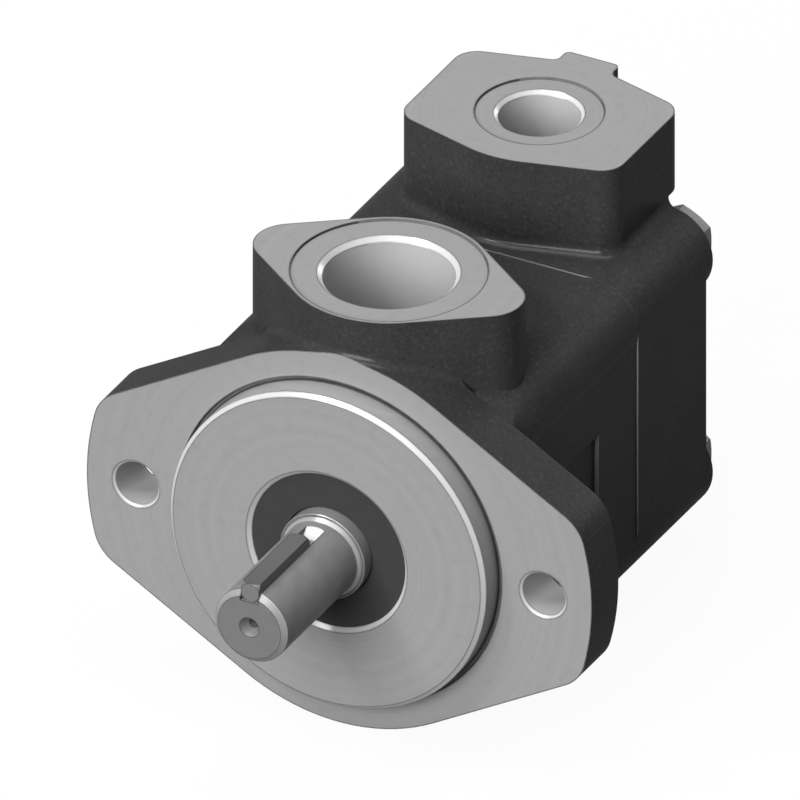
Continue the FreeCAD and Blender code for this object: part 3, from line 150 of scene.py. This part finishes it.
class Finish(Shading):
    # the material of one kind of surface; places are in millimetres of the pump's own frame
    def __init__(self, name):
        self.material = bpy.data.materials.new(name)
        super().__init__(self.material)
        coords = self.node("ShaderNodeTexCoord")
        inputs = {0: coords.outputs["Object"], "Scale": perMetre}
        self.place = self.add("ShaderNodeVectorMath", {"operation": "SCALE"}, inputs)
        self.x, self.y, self.z = self.split(self.place)
        self.nx, self.ny, self.nz = self.split(coords.outputs["Normal"])

    def split(self, vector):
        parts = self.node("ShaderNodeSeparateXYZ", None, {0: vector})
        return [Value(self, parts.outputs[index]) for index in range(3)]

    def noise(self, scale, detail=3.0):
        # soft noise with features about 1/scale millimetres wide
        inputs = {"Vector": self.place, "Scale": scale, "Detail": detail}
        return self.add("ShaderNodeTexNoise", {"noise_dimensions": "3D"}, inputs)

    def lines(self, along, pitch, detail=2.0):
        # uneven fine lines that a tool leaves, one every pitch millimetres of a value
        inputs = {"W": along / pitch, "Scale": 1.0, "Detail": detail}
        return self.add("ShaderNodeTexNoise", {"noise_dimensions": "1D"}, inputs)

    def radius(self, first, second):
        # distance from an axis
        return (first ** 2 + second ** 2) ** 0.5

    def mix(self, mask, first, second):
        # blend two colours, each a tuple or a Value
        inputs = {0: mask, 6: opaque(first), 7: opaque(second)}
        return self.add("ShaderNodeMix", {"data_type": "RGBA"}, inputs, 2)

    def rounded(self, radius):
        # a normal that turns smoothly over sharp edges
        return self.add("ShaderNodeBevel", {"samples": 6}, {"Radius": radius / perMetre})

    def darkEdgeLines(self, colour, edgeLine, where=1.0):
        # darken a thin band beside the sharp edges, where the rounded normal turns away: dark edge lines,
        # painted shade where they lie in creases
        flat = self.node("ShaderNodeNewGeometry").outputs["Normal"]
        inputs = {0: self.rounded(edgeLine["band"]), 1: flat}
        alike = self.add("ShaderNodeVectorMath", {"operation": "DOT_PRODUCT"}, inputs, "Value")
        mask = alike.below(edgeLine["turned"], edgeLine["soft"]) * edgeLine["share"] * where
        return self.mix(mask, colour, grey(edgeLine["shade"]))

    def bump(self, height, strength, depth, rounding=0.0):
        # relief on the surface, over edges that are rounded if asked
        inputs = {"Height": height, "Strength": strength, "Distance": depth / perMetre}
        if rounding:
            inputs["Normal"] = self.rounded(rounding)
        return self.add("ShaderNodeBump", None, inputs)

    def surface(self, **inputs):
        # the finished surface; sockets are named in camelCase
        names = {
            "colour": "Base Color",
            "metallic": "Metallic",
            "roughness": "Roughness",
            "normal": "Normal",
            "specular": "Specular IOR Level",
            "coat": "Coat Weight",
            "coatRoughness": "Coat Roughness",
        }
        shader = self.node("ShaderNodeBsdfPrincipled", None, {names[name]: inputs[name] for name in inputs})
        self.node("ShaderNodeOutputMaterial", None, {"Surface": shader.outputs[0]})
        return self.material


def grey(level):
    return (level, level, level)


def opaque(colour):
    return (*colour, 1.0) if isinstance(colour, tuple) else colour


# Castings: black cast skin with machined faces

castings = {
    "skinShade": 0.04,
    "skinPatches": (0.75, 1.3),  # darkest and lightest patch, as shares of that shade
    "patchScale": 0.05,
    "skinRoughness": 0.42,
    "skinSpecular": 0.04,
    "skinGloss": 0.38,  # thin coat of paint, with its own roughness
    "glossRoughness": 0.2,
    "grainSize": 0.9,  # mm, sand grain
    "grainDepth": 0.06,  # mm
    "grainRelief": 0.6,
    "grainContrast": 0.5,
    "wornGrain": (0.64, 0.12),  # height above which a grain is worn, and how soft that limit is
    "wornShade": 0.075,
    "deepGrain": (0.38, 0.1),
    "deepShade": 0.6,  # share of the skin's shade
    "toolPitch": 0.35,  # mm, feed lines of the cutter
    "bandPitch": 2.2,  # mm, broader bands among them
    "bandShare": 0.35,
    "toolRelief": 0.12,  # share of the grain's depth
    "faceShade": 0.36,
    "faceLines": (0.88, 1.14),  # darkest and lightest line, as shares of that shade
    "faceRoughness": 0.33,
    "faceMetal": 0.2,
    "roughnessRange": 0.1,
    # chamfers are painted lighter than the faces, as a highlight
    "chamferShade": 0.68,
    "chamferRoughness": 0.26,
    # bore walls are painted lighter than the faces, as painted light inside the bores
    "boreShade": 0.53,
    "smudgeScale": 0.35,
    "smudge": (0.62, 0.12),
    "smudgeShare": 0.3,
    "smudgeShade": 0.86,  # share of the face's shade
    # grime and painted shade in the recesses
    "grimeShade": 0.1,
    "grimeLeast": 0.6,
    "edgeRounding": 0.35,  # mm
    # dark lines beside the sharp edges, painted shade where they lie in creases
    "edgeDirt": {"band": 0.7, "turned": 0.965, "soft": 0.025, "share": 0.85, "shade": 0.015},
}

# Where the castings are machined, in mm of the pump's frame
cuts = {
    "pilotRadius": mounts["pilot"]["dims"]["r_mm"],
    "grooveRadius": 42.4,  # relief groove round the pilot
    "grooveDepth": 1.05,
    "holeOffset": mounts["mounting_holes"]["dims"]["spacing_x_mm"] / 2,
    "holeRadius": mounts["mounting_holes"]["dims"]["hole_r_mm"],
    "holeChamfer": 0.7,
    "joint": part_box("front_body")[1][1] * perMetre,
    "notchEnd": 53.4,
    "boltSeat": 109.1,
    "boltOffset": 28.575,
    "seatRadius": 11.3,
    "spotfaceDepth": 0.6,  # depth below a boss's top that still counts as its face
    "faceReach": 0.02,  # how far the masks reach past their surfaces
    "reach": 0.05,
    "chamferReach": 0.1,
    "facing": 0.7,  # cosine from which a surface faces a direction
    "slant": (0.6, 0.3),  # middle and reach of a chamfer's cosine
    "wall": 0.2,  # largest cosine of a bore's wall
}

# Ports, each with its boss's top, spotface, mouth and the depth that the bore is cut to
ports = [
    {"mount": "inlet_port", "casting": "front_body", "spotface": 23.0, "mouth": 16.65, "bottom": 36.6},
    {"mount": "outlet_port", "casting": "rear_cover", "spotface": 15.1, "mouth": 10.6, "bottom": 40.9},
]
for port in ports:
    port["station"] = mounts[port["mount"]]["pos_m"][1] * perMetre
    port["face"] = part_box(port["casting"])[1][2] * perMetre

# Places that hold grime and get painted shade, as recesses do: beside the pilot in its groove, and at the
# spotfaces' walls
grimeAndShadePlaces = {
    "grooveMiddle": 0.6,
    "grooveReach": 0.65,
    "depthReach": 0.5,
    "spotfaceReach": 0.12,
    "spotfaceTilt": 0.5,
}


def flangeMasks(iron):
    # the flange's front face with the pilot, and its two bolt holes
    y = iron.y
    fromShaft = iron.radius(iron.x, iron.z)
    fromHole = iron.radius(abs(iron.x) - cuts["holeOffset"], iron.z)
    holeWall = cuts["holeRadius"] + cuts["reach"]
    holeMouth = cuts["holeRadius"] + cuts["holeChamfer"]
    holes = fromHole.below(holeWall) | (fromHole.below(holeMouth) & y.below(cuts["holeChamfer"]))
    groove = fromShaft.below(cuts["grooveRadius"]) & y.below(cuts["grooveDepth"])
    onPilot = fromShaft.below(cuts["pilotRadius"] + cuts["chamferReach"])
    chamfer = abs(iron.ny).near(*cuts["slant"]) & (onPilot | holes)
    bore = fromHole.below(holeWall) & y.above(cuts["holeChamfer"])
    beside = fromShaft.near(cuts["pilotRadius"] + grimeAndShadePlaces["grooveMiddle"], grimeAndShadePlaces["grooveReach"])
    grimeAndShade = beside & y.near(grimeAndShadePlaces["grooveMiddle"], grimeAndShadePlaces["depthReach"])
    return y.below(cuts["faceReach"]) | groove | holes, chamfer, bore, grimeAndShade


def portMasks(iron, port):
    # a boss's top face, with its spotface, mouth and bore
    fromPort = iron.radius(iron.x, iron.y - port["station"])
    inside = fromPort.below(port["spotface"] + cuts["reach"]) & iron.z.above(port["bottom"])
    top = iron.nz.above(cuts["facing"]) & iron.z.above(port["face"] - cuts["spotfaceDepth"])
    chamfer = inside & fromPort.below(port["mouth"] + cuts["chamferReach"]) & iron.nz.near(*cuts["slant"])
    bore = inside & abs(iron.nz).below(cuts["wall"]) & fromPort.below(port["mouth"])
    grimeAndShade = inside & fromPort.near(port["spotface"], grimeAndShadePlaces["spotfaceReach"])
    return top | inside, chamfer, bore, grimeAndShade & abs(iron.nz).below(grimeAndShadePlaces["spotfaceTilt"])


def ledgeMask(iron):
    # the narrow ledges that face the front at the joint and at the notches
    ledges = iron.y.near(cuts["joint"], cuts["reach"]) | iron.y.near(cuts["notchEnd"], cuts["reach"])
    return ledges & iron.ny.below(-cuts["facing"])


def seatMask(iron):
    # the round seats of the bolt heads
    fromBolt = iron.radius(abs(iron.x) - cuts["boltOffset"], abs(iron.z) - cuts["boltOffset"])
    return fromBolt.below(cuts["seatRadius"]) & iron.y.near(cuts["boltSeat"], cuts["reach"])


def machinedMasks(iron):
    # where the castings are cut, and which cuts are chamfers, bores or hold grime and painted shade
    masks = flangeMasks(iron)
    for port in ports:
        masks = [mask | more for mask, more in zip(masks, portMasks(iron, port))]
    cut, chamfer, bore, grimeAndShade = masks
    return cut | ledgeMask(iron) | seatMask(iron), chamfer, bore, grimeAndShade


def cutterLines(iron):
    # lines round the shaft on the front, and round the nearer port on top
    inlet, outlet = [port["station"] for port in ports]
    station = iron.y.below((inlet + outlet) / 2) * (inlet - outlet) + outlet
    up = iron.nz.above(cuts["facing"])
    fromPort = iron.radius(iron.x, iron.y - station)
    fromCentre = up * fromPort + (1 - up) * iron.radius(iron.x, iron.z)
    fine = iron.lines(fromCentre, castings["toolPitch"])
    bands = iron.lines(fromCentre, castings["bandPitch"])
    return fine * (1 - castings["bandShare"]) + bands * castings["bandShare"]


def castSkin(iron, grain):
    c = castings
    dark, light = [grey(c["skinShade"] * share) for share in c["skinPatches"]]
    skin = iron.mix(iron.noise(c["patchScale"], 2.0), dark, light)
    skin = iron.mix(grain.above(*c["wornGrain"]) * c["grainContrast"], skin, grey(c["wornShade"]))
    deep = grey(c["skinShade"] * c["deepShade"])
    return iron.mix(grain.below(*c["deepGrain"]) * c["grainContrast"], skin, deep)


def cutMetal(iron, tool, chamfer, bore, grimeAndShade):
    c = castings
    smudges = iron.noise(c["smudgeScale"])
    dark, light = [grey(c["faceShade"] * share) for share in c["faceLines"]]
    metal = iron.mix(tool, dark, light)
    smudged = grey(c["faceShade"] * c["smudgeShade"])
    metal = iron.mix(smudges.above(*c["smudge"]) * c["smudgeShare"], metal, smudged)
    # the chamfers get a painted highlight
    metal = iron.mix(chamfer, metal, grey(c["chamferShade"]))
    # painted light on the bore walls
    metal = iron.mix(bore, metal, grey(c["boreShade"]))
    # grime and painted shade darken the relief groove and the spotfaces' walls
    metal = iron.mix(grimeAndShade * smudges.spread(c["grimeLeast"], 1.0), metal, grey(c["grimeShade"]))
    behind = iron.ny.below(-cuts["facing"]) & iron.y.above(cuts["grooveDepth"])
    return iron.darkEdgeLines(metal, c["edgeDirt"], 1 - behind)  # the ledges there are too narrow for the dark edge lines


def castIron():
    c = castings
    iron = Finish("castIron")
    cut, chamfer, bore, grimeAndShade = machinedMasks(iron)
    grain = iron.noise(1 / c["grainSize"])
    tool = cutterLines(iron)
    skinRoughness = grain * c["roughnessRange"] + c["skinRoughness"]
    cutRoughness = tool * c["roughnessRange"] + chamfer.spread(c["faceRoughness"], c["chamferRoughness"])
    height = (1 - cut) * grain + cut * tool * c["toolRelief"]
    return iron.surface(
        colour=iron.mix(cut, castSkin(iron, grain), cutMetal(iron, tool, chamfer, bore, grimeAndShade)),
        metallic=cut * (1 - grimeAndShade) * c["faceMetal"],
        roughness=cut * cutRoughness + (1 - cut) * skinRoughness,
        specular=c["skinSpecular"],
        coat=(1 - cut) * c["skinGloss"],
        coatRoughness=c["glossRoughness"],
        normal=iron.bump(height, c["grainRelief"], c["grainDepth"], c["edgeRounding"]),
    )


# Shaft, key and bolts: bare steel

# dark lines beside the sharp edges, painted shade where they lie in creases
steelEdgeLines = {"band": 0.5, "turned": 0.965, "soft": 0.025, "share": 0.8, "shade": 0.02}

shaft = {
    "shade": 0.27,
    "lineShade": 0.6,  # share of that shade in lines and smudges
    "lineShare": 0.4,
    "smudgeScale": 0.25,
    "smudge": (0.55, 0.15),
    "smudgeShare": 0.3,
    "roughness": 0.3,
    "roughnessRange": 0.12,
    "metal": 0.12,
    "specular": 0.15,
    "endFacing": 0.8,
    "endShade": 0.21,  # faced end, painted darker as shade
    "chamferSlant": (0.65, 0.28),
    "chamferShade": 0.5,  # chamfers, painted lighter as a highlight; cut last, they are also smoother and cleaner
    "chamferRoughness": 0.22,
    "chamferMetal": 0.45,
    "centreHole": 5.0,  # mm, the centre hole's cone lies inside this radius
    # keyway floor painted a little lighter, as a highlight
    "keywayShade": 0.28,
    "keywayHalf": 2.37,  # mm
    "keywayEdge": 9.4,  # mm, radius inside which its floor lies
    "keywayFacing": 0.9,
    "toolPitch": 0.18,  # mm
    "toolDepth": 0.02,  # mm
    "toolRelief": 0.25,
    "edgeRounding": 0.2,  # mm
}


def turnedSteel():
    # the lathe's lines run round the shaft, and in rings on its end
    s = shaft
    steel = Finish("shaftSteel")
    fromAxis = steel.radius(steel.x, steel.z)
    outside = steel.y.below(0.0)
    endFace = abs(steel.ny).above(s["endFacing"])
    rings = steel.lines(fromAxis, s["toolPitch"])
    tool = endFace * rings + (1 - endFace) * steel.lines(steel.y, s["toolPitch"])
    highlitChamfer = abs(steel.ny).near(*s["chamferSlant"]) & outside & fromAxis.above(s["centreHole"])
    keyway = abs(steel.x).below(s["keywayHalf"]) & fromAxis.below(s["keywayEdge"])
    keyway = keyway & steel.nz.above(s["keywayFacing"]) & outside
    dark = grey(s["shade"] * s["lineShade"])
    # the end face is painted darker, as shade
    colour = steel.mix(endFace, grey(s["shade"]), grey(s["endShade"]))
    # the keyway's floor gets a painted highlight
    colour = steel.mix(keyway, colour, grey(s["keywayShade"]))
    colour = steel.mix(tool * s["lineShare"], colour, dark)
    colour = steel.mix(steel.noise(s["smudgeScale"]).above(*s["smudge"]) * s["smudgeShare"], colour, dark)
    # the chamfers are painted lighter, as a highlight
    colour = steel.mix(highlitChamfer, colour, grey(s["chamferShade"]))
    return steel.surface(
        colour=steel.darkEdgeLines(colour, steelEdgeLines),
        metallic=highlitChamfer.spread(s["metal"], s["chamferMetal"]),
        roughness=tool * s["roughnessRange"] + highlitChamfer.spread(s["roughness"], s["chamferRoughness"]),
        specular=s["specular"],
        normal=steel.bump(tool, s["toolRelief"], s["toolDepth"], s["edgeRounding"]),
    )


key = {
    "shade": 0.14,
    "lines": (0.8, 1.1),  # darkest and lightest line, as shares of that shade
    "linePitch": 0.15,  # mm
    "lineLean": 0.7,  # runs the lines over the top and down the sides
    "lineDepth": 0.02,  # mm
    "lineRelief": 0.2,
    "endShade": 0.24,  # turned ends, painted lighter as if lit
    "endFacing": 0.6,
    "metal": 0.3,
    "roughness": 0.32,
    "roughnessRange": 0.1,
    "edgeRounding": 0.2,  # mm
}


def drawnSteel():
    # cold-drawn key bar: lines along its length
    steel = Finish("keySteel")
    drawn = steel.lines(steel.x + steel.z * key["lineLean"], key["linePitch"])
    dark, light = [grey(key["shade"] * share) for share in key["lines"]]
    colour = steel.mix(drawn, dark, light)
    # the ends are painted lighter, as painted light
    colour = steel.mix(abs(steel.ny).above(key["endFacing"]), colour, grey(key["endShade"]))
    return steel.surface(
        colour=steel.darkEdgeLines(colour, steelEdgeLines),
        metallic=key["metal"],
        roughness=drawn * key["roughnessRange"] + key["roughness"],
        normal=steel.bump(drawn, key["lineRelief"], key["lineDepth"], key["edgeRounding"]),
    )


bolts = {
    "shade": 0.44,
    "scale": (0.8, 1.25),  # darkest and lightest forging scale, as shares of that shade
    "scaleSize": 0.8,
    "scaleDepth": 0.04,  # mm
    "scaleRelief": 0.3,
    "metal": 0.5,
    "roughness": 0.31,
    "roughnessRange": 0.15,
    "edgeRounding": 0.4,  # mm
}


def forgedSteel():
    steel = Finish("boltSteel")
    scale = steel.noise(bolts["scaleSize"], 4.0)
    dark, light = [grey(bolts["shade"] * share) for share in bolts["scale"]]
    return steel.surface(
        colour=steel.darkEdgeLines(steel.mix(scale, dark, light), steelEdgeLines),
        metallic=bolts["metal"],
        roughness=scale * bolts["roughnessRange"] + bolts["roughness"],
        normal=steel.bump(scale, bolts["scaleRelief"], bolts["scaleDepth"], bolts["edgeRounding"]),
    )


# Shaft seal: moulded rubber

seal = {
    "shade": 0.046,
    "bloom": (0.9, 1.15),  # darkest and lightest bloom, as shares of that shade
    "bloomScale": 0.3,
    "roughness": 0.5,
    "roughnessRange": 0.12,
    "specular": 0.08,
    "poreScale": 2.5,
    "ringPitch": 1.2,  # mm
    "ringShare": 0.4,
    "depth": 0.03,  # mm
    "relief": 0.3,
    "edgeRounding": 0.25,  # mm
}


def sealRubber():
    rubber = Finish("sealRubber")
    rings = rubber.lines(rubber.radius(rubber.x, rubber.z), seal["ringPitch"], 1.0)
    bloom = rubber.noise(seal["bloomScale"])
    height = rubber.noise(seal["poreScale"]) + rings * seal["ringShare"]
    dark, light = [grey(seal["shade"] * share) for share in seal["bloom"]]
    return rubber.surface(
        colour=rubber.mix(bloom, dark, light),
        roughness=bloom * seal["roughnessRange"] + seal["roughness"],
        specular=seal["specular"],
        normal=rubber.bump(height, seal["relief"], seal["depth"], seal["edgeRounding"]),
    )


# Inner pieces: clean metal, seen when the pump is open

inner = {
    "metal": 0.9,
    "layScale": 0.7,
    "lay": (0.9, 1.08),  # darkest and lightest lay, as shares of the colour
    "layDepth": 0.02,  # mm
    "layRelief": 0.15,
    "roughnessRange": 0.1,
}

innerColours = {  # with the roughness of each
    "pressedSteel": ((0.42, 0.42, 0.42), 0.35),
    "springSteel": ((0.3, 0.3, 0.31), 0.3),
    "bearingSteel": ((0.55, 0.55, 0.56), 0.18),
    "bushingBronze": ((0.5, 0.34, 0.16), 0.35),
    "hardenedSteel": ((0.4, 0.4, 0.41), 0.24),
    "plateIron": ((0.28, 0.28, 0.28), 0.4),
}


def innerMetal(name):
    colour, roughness = innerColours[name]
    metal = Finish(name)
    lay = metal.noise(inner["layScale"])
    dark, light = [tuple(level * share for level in colour) for share in inner["lay"]]
    return metal.surface(
        colour=metal.mix(lay, dark, light),
        metallic=inner["metal"],
        roughness=lay * inner["roughnessRange"] + roughness,
        normal=metal.bump(lay, inner["layRelief"], inner["layDepth"]),
    )


def dressNodes():
    # give every CAD node the finish of its material slot
    finishes = {
        "cast_iron": castIron(),
        "shaft_steel": turnedSteel(),
        "key_steel": drawnSteel(),
        "bolt_steel": forgedSteel(),
        "seal_rubber": sealRubber(),
        "pressed_steel": innerMetal("pressedSteel"),
        "spring_steel": innerMetal("springSteel"),
        "bearing_steel": innerMetal("bearingSteel"),
        "bushing_bronze": innerMetal("bushingBronze"),
        "hardened_steel": innerMetal("hardenedSteel"),
        "plate_iron": innerMetal("plateIron"),
    }
    for part in frame["record"]["subparts"]:
        materials = nodes[part["node"]].data.materials
        materials.clear()
        materials.append(finishes[part["material_slot"]])
    print("finishes set on", len(nodes), "nodes")


dressNodes()


# Floor and world: white to the camera, dim to the pump

white = (1.0, 1.0, 1.0)

floor = {
    "drop": 0.0004,  # metres below the pump's lowest point
    "size": 6.0,
    "shade": 0.08,
    "glow": 1.9,
    "glowShare": 0.5,  # the rest stays lit, so that the shadow shows
    "mirrored": 0.1,
}

world = {"ambient": 0.05, "mirrored": 0.07}


def makeFloor():
    half = floor["size"] / 2
    height = cadBox[0][2] - floor["drop"]
    corners = [(x * half, y * half, height) for x, y in ((-1, -1), (1, -1), (1, 1), (-1, 1))]
    mesh = bpy.data.meshes.new("floor")
    mesh.from_pydata(corners, [], [(0, 1, 2, 3)])
    ground = bpy.data.objects.new("floor", mesh)
    bpy.context.scene.collection.objects.link(ground)
    pale = Finish("floorPale")
    camera, glossy, through = pale.rays()
    seen = camera | (glossy * floor["mirrored"]) | through
    diffuse = pale.node("ShaderNodeBsdfDiffuse", None, {"Color": opaque(grey(floor["shade"]))})
    glow = pale.node("ShaderNodeEmission", None, {"Color": opaque(white), "Strength": floor["glow"]})
    inputs = {0: seen * floor["glowShare"], 1: diffuse.outputs[0], 2: glow.outputs[0]}
    lit = pale.node("ShaderNodeMixShader", None, inputs)
    pale.node("ShaderNodeOutputMaterial", None, {"Surface": lit.outputs[0]})
    mesh.materials.append(pale.material)


def makeWorld():
    bpy.context.scene.world = bpy.data.worlds.new("studio")
    sky = Shading(bpy.context.scene.world)
    camera, glossy, through = sky.rays()
    strength = camera | through | (glossy * (world["mirrored"] - world["ambient"]) + world["ambient"])
    light = sky.node("ShaderNodeBackground", None, {"Color": opaque(white), "Strength": strength})
    sky.node("ShaderNodeOutputWorld", None, {"Surface": light.outputs[0]})


# Lamps: distant and soft; each stands where its source points from the pump, with a width in degrees

lamps = {
    "keyLamp": {"source": (-0.4, -0.53, 0.75), "width": 9.0, "power": 0.6},
    "frontLamp": {"source": (0.0, -0.9, 0.42), "width": 40.0, "power": 3.1},
    "topLamp": {"source": (-0.12, -0.1, 0.98), "width": 50.0, "power": 1.95},
    "backLamp": {"source": (0.1, 0.98, 0.12), "width": 25.0, "power": 1.3},
}


def makeLamp(name):
    light = bpy.data.lights.new(name, "SUN")
    light.angle = math.radians(lamps[name]["width"])
    light.energy = lamps[name]["power"]
    lamp = bpy.data.objects.new(name, light)
    lamp.rotation_euler = Vector(lamps[name]["source"]).to_track_quat("Z", "Y").to_euler()
    bpy.context.scene.collection.objects.link(lamp)


# Camera: the photograph is a parallel view

view = {
    "azimuth": 27.854,  # degrees, where 0 looks along +Y
    "elevation": 31.03,
    "frameWidth": 0.18486,  # metres across the square picture
    "aimRight": 0.014003,
    "aimUp": 0.03227,
    "distance": 1.2,
}


def makeCamera():
    turn = math.radians(view["azimuth"])
    tilt = math.radians(view["elevation"])
    right = Vector((math.cos(turn), math.sin(turn), 0.0))
    back = Vector((math.sin(turn) * math.cos(tilt), -math.cos(turn) * math.cos(tilt), math.sin(tilt)))
    up = back.cross(right)
    lens = bpy.data.cameras.new("camera")
    lens.type = "ORTHO"
    lens.ortho_scale = view["frameWidth"]
    camera = bpy.data.objects.new("camera", lens)
    camera.location = right * view["aimRight"] + up * view["aimUp"] + back * view["distance"]
    camera.rotation_euler = back.to_track_quat("Z", "Y").to_euler()
    bpy.context.scene.collection.objects.link(camera)
    bpy.context.scene.camera = camera


makeFloor()
makeWorld()
for name in lamps:
    makeLamp(name)
makeCamera()
bpy.context.scene.view_settings.view_transform = "Standard"
print("floor, lamps and camera ready")
